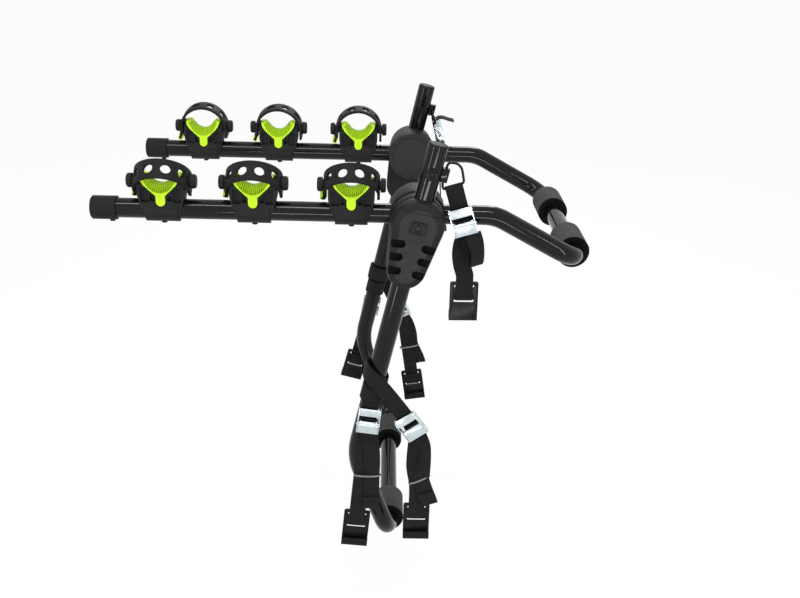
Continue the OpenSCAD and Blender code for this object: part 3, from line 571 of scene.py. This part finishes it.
# %% Foam sleeves
SLEEVE_BORE, SLEEVE_SIDES, SLEEVE_CUTS = 0.0162, 72, 16
RIM, RIM_ANGLE = 0.0006, math.radians(60)
UNEVEN, UNEVEN_LEVEL, UNEVEN_SCALE = 0.0009, 0.6, 0.02
ENDWAYS = 0.9
uneven = bpy.data.textures.new("uneven_foam", "CLOUDS")
uneven.noise_scale = UNEVEN_SCALE


def looks_endways(face):
    """Tells whether a face of a pad looks along the crossbar."""
    return abs(face.normal.y) > ENDWAYS


def foam_pad(node, name):
    """A sleeve of foam as long and as thick as the CAD node, with much darker end faces."""
    low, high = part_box(node)
    radius, length = (high.x - low.x) / 2, high.y - low.y
    bpy.ops.object.select_all(action="DESELECT")
    bpy.ops.mesh.primitive_cylinder_add(
        vertices=SLEEVE_SIDES, radius=radius, depth=length,
        location=(low + high) / 2, rotation=(math.pi / 2, 0, 0))
    pad = bpy.context.object
    pad.name = pad.data.name = name
    bpy.ops.object.transform_apply(location=True, rotation=True, scale=True)
    bpy.ops.object.mode_set(mode="EDIT")
    bpy.ops.mesh.select_all(action="DESELECT")
    bpy.ops.mesh.select_mode(type="FACE")
    bpy.ops.object.mode_set(mode="OBJECT")
    for face in pad.data.polygons:
        face.select = looks_endways(face)
    bpy.ops.object.mode_set(mode="EDIT")
    bpy.ops.mesh.inset(thickness=radius - SLEEVE_BORE)
    bpy.ops.mesh.bridge_edge_loops()
    bpy.ops.mesh.select_mode(type="EDGE")
    bpy.ops.mesh.select_all(action="DESELECT")
    bpy.ops.object.mode_set(mode="OBJECT")
    points = pad.data.vertices
    for edge in pad.data.edges:
        ends = [points[i].co for i in edge.vertices]
        edge.select = abs(ends[0].y - ends[1].y) > length / 2
    bpy.ops.object.mode_set(mode="EDIT")
    bpy.ops.mesh.subdivide(number_cuts=SLEEVE_CUTS)
    bpy.ops.mesh.select_all(action="SELECT")
    bpy.ops.mesh.normals_make_consistent(inside=False)
    bpy.ops.object.mode_set(mode="OBJECT")
    modify(pad, "BEVEL", width=RIM, segments=2, limit_method="ANGLE", angle_limit=RIM_ANGLE)
    modify(pad, "DISPLACE", texture=uneven, strength=UNEVEN, mid_level=UNEVEN_LEVEL,
           texture_coords="LOCAL")
    bpy.ops.object.shade_smooth_by_angle(angle=CREASE)
    for finish in (foam, dark_foam_ends):
        pad.data.materials.append(finish)
    for face in pad.data.polygons:
        face.material_index = int(looks_endways(face))
    stand_for(pad, node)
    return pad


for place in ("upper", "lower"):
    for side in ("right", "left"):
        pad = foam_pad(f"{place}_pad_{side}", f"{place}_foam_{side}")
        print(pad.name, len(pad.data.polygons), "faces")

# %% [markdown]
# ## Ridged seats
# The bike's tube lies in a lime insert that dips to the front and to the back, with fine ridges
# that keep it from slipping. A bump map could show them, but they also break the seat's outline,
# so a fine grid is laid on the seat's own surface, lifted in a zigzag and made solid.

# %% The surface of a seat
CRADLE_X = (-0.105, -0.260, -0.4045)
ARM_Y, SEAT_LOW, SEAT_R, FLARE_R = 0.190, 0.0419, 0.020, 0.029
SEAT_SPREAD = math.radians(56)
SEAT_HALF_W, FLARE_LEN, FLARE_DROP = 0.0188, 0.012, 0.0115
NECK_HALF = 0.007
DIP = math.atan2(FLARE_DROP, FLARE_LEN)
RIDGE_TOP, RIDGES, RIDGE_RISE = 0.0552, 18, 0.0011
FAN = math.radians(55)
HALVINGS = 30


def seat_height(x, y):
    """Height of the seat over the arm's axis."""
    turn = min(math.asin(min(abs(x) / SEAT_R, 1)), SEAT_SPREAD)
    straight = max(abs(x) - SEAT_R * math.sin(SEAT_SPREAD), 0) * math.tan(SEAT_SPREAD)
    neck = SEAT_LOW + SEAT_R * (1 - math.cos(turn)) + straight
    flare = (FLARE_R - math.sqrt(max(FLARE_R ** 2 - x * x, 0))) / math.cos(DIP)
    return min(neck, SEAT_LOW - math.tan(DIP) * (abs(y) - NECK_HALF) + flare)


def seat_reach(y):
    """How far the seat goes to either side before it comes to the top of its ridges."""
    low, high = 0.0, FLARE_R
    for _ in range(HALVINGS):
        middle = (low + high) / 2
        low, high = (middle, high) if seat_height(middle, y) < RIDGE_TOP else (low, middle)
    return low


# %% Ridged finish with painted shade
ridged = Finish("ridged_lime_painted_shade", IOR=1.45, Specular_IOR_Level=0.25)
across = ridged.chart("X")
# Painted shade: the valleys between the ridges are darker, and the whole seat is darker than the
# lime rubber.
crest = (across * (2 * math.pi * RIDGES) + math.pi / 2).wave() * 0.5 + 0.5
cloud = ridged.noise(60, 4)
shade = crest * 0.75 + cloud * 0.25
ridged_lime_painted_shade = ridged.paint(
    Base_Color=ridged.tint(shade, (0.13, 0.24, 0.003), (0.44, 0.7, 0.01)),
    Roughness=0.5 + cloud * 0.15,
)

# %% Lay a ridged skin in each seat
SKIN_ROWS, SKIN_LIFT, SKIN_T, TINY = 22, 0.0001, 0.0012, 1e-5
RIDGE_CREASE, INSERT_CREASE = math.radians(30), math.radians(20)


def steepness(low, high):
    """Rise per unit of length between two heights that lie two tiny steps apart."""
    return (high - low) / (2 * TINY)


def seat_skin(x, sign):
    """A thin ridged sheet on the seat of the cradle at x."""
    bpy.ops.object.select_all(action="DESELECT")
    bpy.ops.mesh.primitive_grid_add(x_subdivisions=4 * RIDGES, y_subdivisions=SKIN_ROWS, size=2)
    skin = bpy.context.object
    for vertex in skin.data.vertices:
        column, y = vertex.co.x, vertex.co.y * SEAT_HALF_W
        reach = seat_reach(y) * math.sin(column * FAN) / math.sin(FAN)
        rise_x = steepness(seat_height(reach - TINY, y), seat_height(reach + TINY, y))
        rise_y = steepness(seat_height(reach, y - TINY), seat_height(reach, y + TINY))
        crest = abs((column * RIDGES / 2) % 1 * 2 - 1)
        lift = Vector((-rise_x, -rise_y, 1)).normalized() * (SKIN_LIFT + RIDGE_RISE * crest)
        vertex.co = HUB + Vector((x + reach, sign * ARM_Y + y, seat_height(reach, y))) + lift
    skin.data.update()
    modify(skin, "SOLIDIFY", thickness=SKIN_T, offset=-1.0)
    return skin


def seat_ridges(name, sign):
    """The ridged sheets of one arm as one piece."""
    row = joined([seat_skin(x, sign) for x in CRADLE_X], name)
    bpy.ops.object.shade_smooth_by_angle(angle=RIDGE_CREASE)
    row.data.materials.append(ridged_lime_painted_shade)
    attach(row, "upper_frame")
    return row


for side, sign in (("right", -1), ("left", 1)):
    insert = copy_of("inserts_" + side, f"inserts_{side}_rounded")
    bpy.ops.object.shade_smooth_by_angle(angle=INSERT_CREASE)
    stand_for(insert, "inserts_" + side)
    ridges = seat_ridges("seat_ridges_" + side, sign)
    print(ridges.name, len(ridges.data.polygons), "faces")

# %% [markdown]
# ## Wire rings
# The rings that carry the upper straps are bent from wire, so their corners are round. A torus
# has the wrong shape. A curve with a bevel is wire by nature, and it only needs arcs where the
# wire turns.

# %% Bend rings of wire
WIRE_R, WIRE_ROUNDNESS = 0.002, 4
CORNER_R, CORNER_SHARE, CORNER_STEPS = 0.006, 0.45, 7
RINGS_MM = [
    [(43.4, -232, 96.9), (58, -232, 95.4), (65, -232, 88),
     (69.6, -232, 64.5), (37.5, -232, 53.7), (35.8, -232, 62.7)],
    [(39.1, 215, 77.4), (39.1, 249, 77.4), (42.8, 249, 59.8), (42.8, 215, 59.8)],
]


def rounded_loop(corners):
    """A closed line through the corners, with an arc in place of each."""
    line = []
    for i, corner in enumerate(corners):
        back, ahead = corners[i - 1] - corner, corners[(i + 1) % len(corners)] - corner
        reach = min(CORNER_R, CORNER_SHARE * back.length, CORNER_SHARE * ahead.length)
        start, end = corner + back.normalized() * reach, corner + ahead.normalized() * reach
        for t in (k / CORNER_STEPS for k in range(CORNER_STEPS + 1)):
            line.append(start * (1 - t) ** 2 + corner * (2 * t * (1 - t)) + end * t * t)
    return line


bpy.ops.object.select_all(action="DESELECT")
bpy.ops.curve.primitive_bezier_curve_add()
rings = bpy.context.object
rings.name = "wire_rings"
rings.data.splines.clear()
for corners in RINGS_MM:
    loop = rounded_loop([HUB + Vector(corner) / 1000 for corner in corners])
    spline = rings.data.splines.new("POLY")
    spline.points.add(len(loop) - 1)
    for point, place in zip(spline.points, loop):
        point.co = (*place, 1)
    spline.use_cyclic_u = True
rings.data.bevel_depth, rings.data.bevel_resolution = WIRE_R, WIRE_ROUNDNESS
bpy.ops.object.convert(target="MESH")
rings = bpy.context.object
bpy.ops.object.shade_smooth()
rings.data.materials.append(black_wire)
stand_for(rings, "d_rings")
print("wire rings:", len(RINGS_MM))

# %% [markdown]
# ## Webbing
# The straps are flat polypropylene webbing, 28 mm wide and under 2 mm thick. A remesh would
# erase them, so each one is cut flat as a grid, laid along its line and given its thickness.
# Its own UV map is kept in metres, so the weave has the same size on every strap.

# %% Woven finish
WEB_W, WEB_T = 0.028, 0.0016
RIB, PICK, SELVEDGE = 0.0021, 0.0016, 0.0012
HALF_WEB = WEB_W / 2
woven = Finish("woven_webbing", IOR=1.45, Specular_IOR_Level=0.06,
               Sheen_Weight=0.05, Sheen_Roughness=0.5)
across, along = woven.chart("X"), woven.chart("Y")
rib = (across * (2 * math.pi / RIB)).wave()
pick = (along * (2 * math.pi / PICK) + rib * 1.2).wave()
yarn = 0.5 + rib * 0.2 + pick * 0.3
edge = (across - HALF_WEB).size().clamp(HALF_WEB - SELVEDGE, HALF_WEB - SELVEDGE / 2)
fluff = woven.noise(70, 4)
shade = yarn * 0.5 + fluff * 0.6 - edge * 0.2
woven_webbing = woven.paint(
    Base_Color=woven.tint(shade, (0.003, 0.003, 0.0032), (0.015, 0.0148, 0.015)),
    Roughness=0.68 + fluff * 0.2,
    Normal=woven.bump(yarn + fluff * 0.3, 0.0004, 0.7),
)

# %% Lay a strip of webbing along a line
COLUMNS, STEPS = 4, 4
CUP, WEB_CREASE = 0.0005, math.radians(60)


def between(a, b, c, d, t):
    """Catmull-Rom point between b and c."""
    square, cube = 2 * a - 5 * b + 4 * c - d, 3 * b - a - 3 * c + d
    return 0.5 * (2 * b + (c - a) * t + square * t * t + cube * t ** 3)


def smooth_line(stations):
    """More stations on a smooth line through the given pairs of a point and a way across."""
    last, line = len(stations) - 1, []
    for i in range(last):
        four = [stations[min(max(k, 0), last)] for k in (i - 1, i, i + 1, i + 2)]
        for step in range(STEPS):
            t = step / STEPS
            line.append(tuple(between(*(pair[k] for pair in four), t) for k in (0, 1)))
    line.append(stations[last])
    return line


def strip(name, stations):
    """One length of webbing, laid along its stations, with its length printed."""
    line = smooth_line(stations)
    rows = len(line) - 1
    reach = [0.0]
    for (p, _), (q, _) in zip(line, line[1:]):
        reach.append(reach[-1] + (q - p).length)
    bpy.ops.object.select_all(action="DESELECT")
    bpy.ops.mesh.primitive_grid_add(x_subdivisions=COLUMNS, y_subdivisions=rows, size=1)
    piece = bpy.context.object
    piece.name = piece.data.name = name
    for vertex in piece.data.vertices:
        column, row = vertex.co.x, round((vertex.co.y + 0.5) * rows)
        centre, side = line[row]
        run = (line[min(row + 1, rows)][0] - line[max(row - 1, 0)][0]).normalized()
        side = (side - run * side.dot(run)).normalized()
        cupped = run.cross(side) * (CUP * (0.25 - column * column))
        vertex.co = centre + side * (column * WEB_W) + cupped
    for corner in piece.data.uv_layers[0].data:
        row = corner.uv.y * rows
        corner.uv = (corner.uv.x * WEB_W, reach[min(round(row), rows)])
    modify(piece, "SOLIDIFY", thickness=WEB_T, offset=0.0)
    bpy.ops.object.shade_smooth_by_angle(angle=WEB_CREASE)
    piece.data.materials.append(woven_webbing)
    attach(piece, "lower_frame")
    print(name, "is", round(reach[-1], 3), "m of webbing")
    return piece


# %% [markdown]
# ## The six straps
# Two upper straps hang from rings on the stubs, and two more are wound round each leg. Every
# strap runs down through its cam buckle and ends in a fold through the slot of its hook, so one
# class holds the places that its solids have and turns steps along the strap into stations.

# %% Where each strap runs
LEG_Y, BUCKLE_HALF = 232.0, 24.0
MM = 0.001


def step_down(point, tilt, length):
    """The place so far down a line of that tilt."""
    angle = math.radians(tilt)
    return point[0] + length * math.sin(angle), point[1] - length * math.cos(angle)


class Strap:
    """Places of one strap in millimetres from the hub, along the vehicle and up."""

    def __init__(self, sign, on_edge, plane, anchor, tilt, low_tilt, to_buckle, to_hook):
        self.sign, self.on_edge, self.plane = sign, on_edge, plane
        self.anchor, self.tilt, self.low_tilt = anchor, tilt, low_tilt
        self.pin = step_down(anchor, tilt, to_buckle)
        self.knee = step_down(self.pin, tilt, BUCKLE_HALF)
        self.hook = step_down(self.knee, low_tilt, to_hook)

    def station(self, x, out, z, side):
        """A point and the direction across, on this strap's side of the vehicle."""
        point = Vector((x, self.sign * (LEG_Y + out), z)) * MM
        return HUB + point, Vector((side[0], self.sign * side[1], side[2]))

    def at(self, base, tilt, down, out):
        """A station so far down a line of that tilt, and so far out of the strap's plane."""
        x, z = step_down(base, tilt, down)
        angle = math.radians(tilt)
        if self.on_edge:
            x, z = x + out * math.cos(angle), z + out * math.sin(angle)
            return self.station(x, self.plane, z, (0, 1, 0))
        return self.spot(x, z, out, tilt)

    def spot(self, x, z, out, tilt, twist=0.0):
        """A station at a place of its own, tilted in its plane and twisted on its length."""
        angle, roll = math.radians(tilt), math.radians(twist)
        flat = math.cos(roll)
        across = (math.cos(angle) * flat, math.sin(roll), math.sin(angle) * flat)
        return self.station(x, self.plane + out, z, across)


LOWER_WRAP, WRAP_STEP = 276.0, 32.0
LEG_DOWN = (-math.sin(LEG_LEAN), -math.cos(LEG_LEAN))


def on_leg(distance):
    """The place on the leg's axis so far below the hub."""
    return LEG_DOWN[0] * distance, LEG_DOWN[1] * distance


SIDE_PLANE, LOWER_PLANE = 18.9, 23.7
SIDE_ANCHOR, LOWER_ANCHOR = on_leg(LOWER_WRAP + WRAP_STEP), on_leg(LOWER_WRAP)
STRAPS = {
    "upper_right": Strap(-1, False, 0, (53.8, 58.7), 17, 0.6, 57.4, 80),
    "upper_left": Strap(1, True, 0, (42.8, 59.8), 12, 5, 30, 108),
    "side_right": Strap(-1, False, SIDE_PLANE, SIDE_ANCHOR, -7, -5, 44, 163),
    "side_left": Strap(1, False, SIDE_PLANE, SIDE_ANCHOR, -9.6, -14.5, 58, 88),
    "lower_right": Strap(-1, False, LOWER_PLANE, LOWER_ANCHOR, 36.2, 0, 101.5, 140),
    "lower_left": Strap(1, False, LOWER_PLANE, LOWER_ANCHOR, 24.9, 9, 108.5, 126),
}

# %% Folds that the straps share
RING_FOLD = [(22, -2.3), (9, -2.9), (0, -3.05), (-2.15, -2.15),
             (-3.05, 0), (-2.15, 2.15), (0, 3.05), (9, 1.6)]
HOOK_FOLD = [(-10, 0), (12, 0), (28, 0), (31.9, -0.7),
             (32.5, -2.5), (31.9, -4.3), (29, -5.1), (8, -5.1)]
IN_BUCKLE = (-14, 0, 14)
SWAY = ((0.12, 0.3), (0.35, 1.2), (0.6, 0.8), (0.8, 0.2))


def through_ring(strap):
    """Stations of the fold round the strap's ring."""
    return [strap.at(strap.anchor, strap.tilt, down, out) for down, out in RING_FOLD]


def through_buckle(strap):
    """Stations on the straight way through the strap's buckle."""
    return [strap.at(strap.pin, strap.tilt, down, 0) for down in IN_BUCKLE]


def into_hook(strap):
    """Stations of the fold through the slot of the strap's hook."""
    return [strap.at(strap.hook, strap.low_tilt, down, out) for down, out in HOOK_FOLD]


def hanging(strap):
    """Stations from the buckle to the hook, with a slight sway on the way."""
    run = math.dist(strap.knee, strap.hook)
    return [strap.at(strap.knee, strap.low_tilt, run * share, out) for share, out in SWAY]


# %% Upper straps
UPPER_DROP = [(74.5, -23, 0.4, 6), (71, -36, 1, -2), (70, -52, 1.4, -4),
              (72.5, -69, 1, -6), (76.5, -82, 0.4, -2)]
FREE_END = ((4.6, 0.4), (11, 3.6), (18, 3.8), (29, 0.6), (40, -2))
for side in ("right", "left"):
    strap = STRAPS["upper_" + side]
    if side == "right":
        drop = [strap.spot(*spot) for spot in UPPER_DROP]
    else:
        drop = hanging(strap)
    line = through_ring(strap) + through_buckle(strap) + drop + into_hook(strap)
    piece = strip("upper_strap_" + side, line)
    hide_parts("upper_webbing_" + side)

strap = STRAPS["upper_left"]
free_end = [(strap.anchor[0] + x, strap.anchor[1] + z) for x, z in FREE_END]
strip("upper_free_end_left", [strap.station(x, 0, z, (0, 1, 0)) for x, z in free_end])

# %% Turns of webbing round a leg
TURN_STEP, TWO_TURNS, THREE_TURNS = 30, 720, 1080
INNER_R, SIDE_OUTER_R, LOWER_OUTER_R = 17.0, 18.6, 21.8


def round_leg(strap, distance, start, turn, first_r, last_r, slope=0.0):
    """Stations round a leg from one angle on, so far down it, in a plane that may slope."""
    count = max(int(abs(turn) / TURN_STEP), 2)
    x, z = on_leg(distance)
    line = []
    for k in range(count + 1):
        angle = math.radians(start + turn * k / count)
        r = first_r + (last_r - first_r) * k / count
        aside = r * math.cos(angle)
        spot = ACROSS_LEG * aside + UP_LEG * (slope * aside)
        line.append(strap.station(x + spot.x, r * math.sin(angle), z + spot.z, UP_LEG))
    return line


for side in ("right", "left"):
    strip("side_wrap_" + side, round_leg(
        STRAPS["side_" + side], LOWER_WRAP + WRAP_STEP, 0, TWO_TURNS, INNER_R, SIDE_OUTER_R))
strip("lower_wrap_left", round_leg(
    STRAPS["lower_left"], LOWER_WRAP, 0, THREE_TURNS, INNER_R, LOWER_OUTER_R))

# %% Side and lower straps
LEAD_IN, LEAD_SHARES = (-12, 6), (0.4, 0.7)
CHOKE_AT, CHOKE_SLOPE = 279.0, -0.55
CHOKE_START, CHOKE_TURN, CHOKE_R = 80, -355, 19.5
CHOKE_RUN = [(-46, -289, 0.2, 38), (-27, -314, 0.1, 36)]
SLACK = [(10, -371, 0, 30, -8), (8, -386, -1.5, 14, -25), (6, -405, -3, 4, -35),
         (6, -430, -2.5, -4, -30), (10, -450, -0.5, -6, -12), (13.5, -468, 0, -2, 0),
         (14.4, -488, 0, 0, 0)]


def from_leg(strap):
    """Stations from the turns round the leg to the buckle."""
    reach = math.dist(strap.anchor, strap.pin)
    downs = [*LEAD_IN, *(reach * share for share in LEAD_SHARES)]
    return [strap.at(strap.anchor, strap.tilt, down, 0) for down in downs]


def choked(strap):
    """Stations of a strap that is drawn tight round the leg by its own turn."""
    turn = round_leg(
        strap, CHOKE_AT, CHOKE_START, CHOKE_TURN, CHOKE_R, LOWER_PLANE, CHOKE_SLOPE)
    return turn + [strap.spot(*spot) for spot in CHOKE_RUN]


for place in ("side", "lower"):
    for side in ("right", "left"):
        strap = STRAPS[f"{place}_{side}"]
        if (place, side) == ("lower", "right"):
            line, drop = choked(strap), [strap.spot(*spot) for spot in SLACK]
        else:
            line, drop = from_leg(strap), hanging(strap)
        line += through_buckle(strap) + drop + into_hook(strap)
        piece = strip(f"{place}_strap_{side}", line)
        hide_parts(f"{place}_webbing_{side}")

# %% [markdown]
# ## Loose ends
# What is left over behind a buckle hangs in front of its strap and turns up at the end. The
# places of each loose end were read off the picture one by one, and a band of elastic holds
# three of the four. A row below is a place along the vehicle and up, the distance out of the
# strap's plane, a tilt and a twist.

# %% Loose ends of the straps
LOOSE = {
    "upper_right": [
        (70, 5, 3.4, 17, 0), (76, -10, 3.6, 18, 0), (82, -22, 6.5, 18, -15),
        (87, -36, 9, 10, -34), (90, -48, 10, 5, -40), (90.5, -57, 10, 1, -40),
        (91.5, -63.5, 11.2, 0, -40), (93.1, -66, 13.1, 0, -40), (94.7, -63.5, 15, 0, -40),
        (95.6, -56, 16.1, 1, -40), (95, -42, 16, 6, -38), (91.5, -27, 14, 14, -30),
        (86, -14, 11.5, 18, -20)],
    "side_right": [
        (-71.5, -341, 3.4, -7, 0), (-73.5, -357, 3.2, -7, 0), (-72, -372, 3.2, -4, 0),
        (-67, -395, 3.6, 0, 0), (-65, -425, 3.6, 0, 0), (-65.5, -453, 3.0, 0, 0),
        (-65.5, -478, 3.4, -1, 0), (-65, -503, 3.8, -1, 0), (-65, -517, 5, -1, 0),
        (-65, -520.5, 6.8, -1, 0), (-65, -517, 8.6, -1, 0), (-65, -497, 7.6, -1, 0)],
    "lower_right": [
        (0, -351, 3.4, 36, 0), (8, -363, 3.4, 34, 0), (15, -373, 4.6, 30, 15),
        (22, -386, 6, 16, 35), (24.5, -405, 7.5, 4, 45), (24, -428, 7, -3, 42),
        (21.5, -446, 5, -3, 25), (20.5, -457, 3.4, 4, 8), (25, -474, 3.2, 16, 0),
        (31, -490, 3.6, 20, 0), (36, -503, 5, 20, 0), (37.5, -507, 6.8, 20, 0),
        (36, -503, 8.6, 20, 0), (29, -484, 7.6, 20, 0)],
    "lower_left": [
        (-14, -366, 3.4, 22, 0), (-8, -380, 3.2, 20, 0), (4, -400, 3, 10, 0),
        (12, -425, 3.2, 8, 0), (15, -449, 2.9, 8, 0), (22, -466, 3.4, 14, 0),
        (29, -482, 4, 18, 0), (33, -494, 5.5, 18, 0), (33.8, -498, 7.2, 18, 0),
        (33, -494, 8.8, 18, 0), (27, -478, 8, 18, 0)],
}
for place, spots in LOOSE.items():
    strip("loose_end_" + place, [STRAPS[place].spot(*spot) for spot in spots])

# %% Bands of elastic
BANDS = {
    "side_right": (-73, -455, 2, 0, 23), "lower_right": (17, -459, 2.4, 26, 20),
    "lower_left": (10, -456, 2, 12, 21),
}
BAND_H, BAND_DEEP, BAND_T, BAND_SIDES = 0.0032, 0.0052, 0.0007, 48
made = []
for place, (x, z, out, tilt, half) in BANDS.items():
    strap = STRAPS[place]
    centre, side = strap.spot(x, z, out, tilt)
    bpy.ops.object.select_all(action="DESELECT")
    bpy.ops.mesh.primitive_cylinder_add(
        vertices=BAND_SIDES, radius=1, depth=BAND_H, end_fill_type="NOTHING")
    band = bpy.context.object
    outward = Vector((0, strap.sign, 0))
    axes = side * half * MM, outward * BAND_DEEP, side.cross(outward) * strap.sign
    band.matrix_world = Matrix.Translation(centre) @ Matrix(axes).transposed().to_4x4()
    bpy.ops.object.transform_apply(location=True, rotation=True, scale=True)
    in_edit(
        lambda: bpy.ops.mesh.subdivide(number_cuts=1),
        lambda: bpy.ops.mesh.normals_make_consistent(inside=False),
    )
    modify(band, "SOLIDIFY", thickness=BAND_T, offset=1.0)
    made.append(band)
bands = joined(made, "elastic_bands")
bpy.ops.object.shade_smooth_by_angle(angle=CREASE)
bands.data.materials.append(elastic_band)
stand_for(bands, "strap_keepers")
print("bands:", len(BANDS))
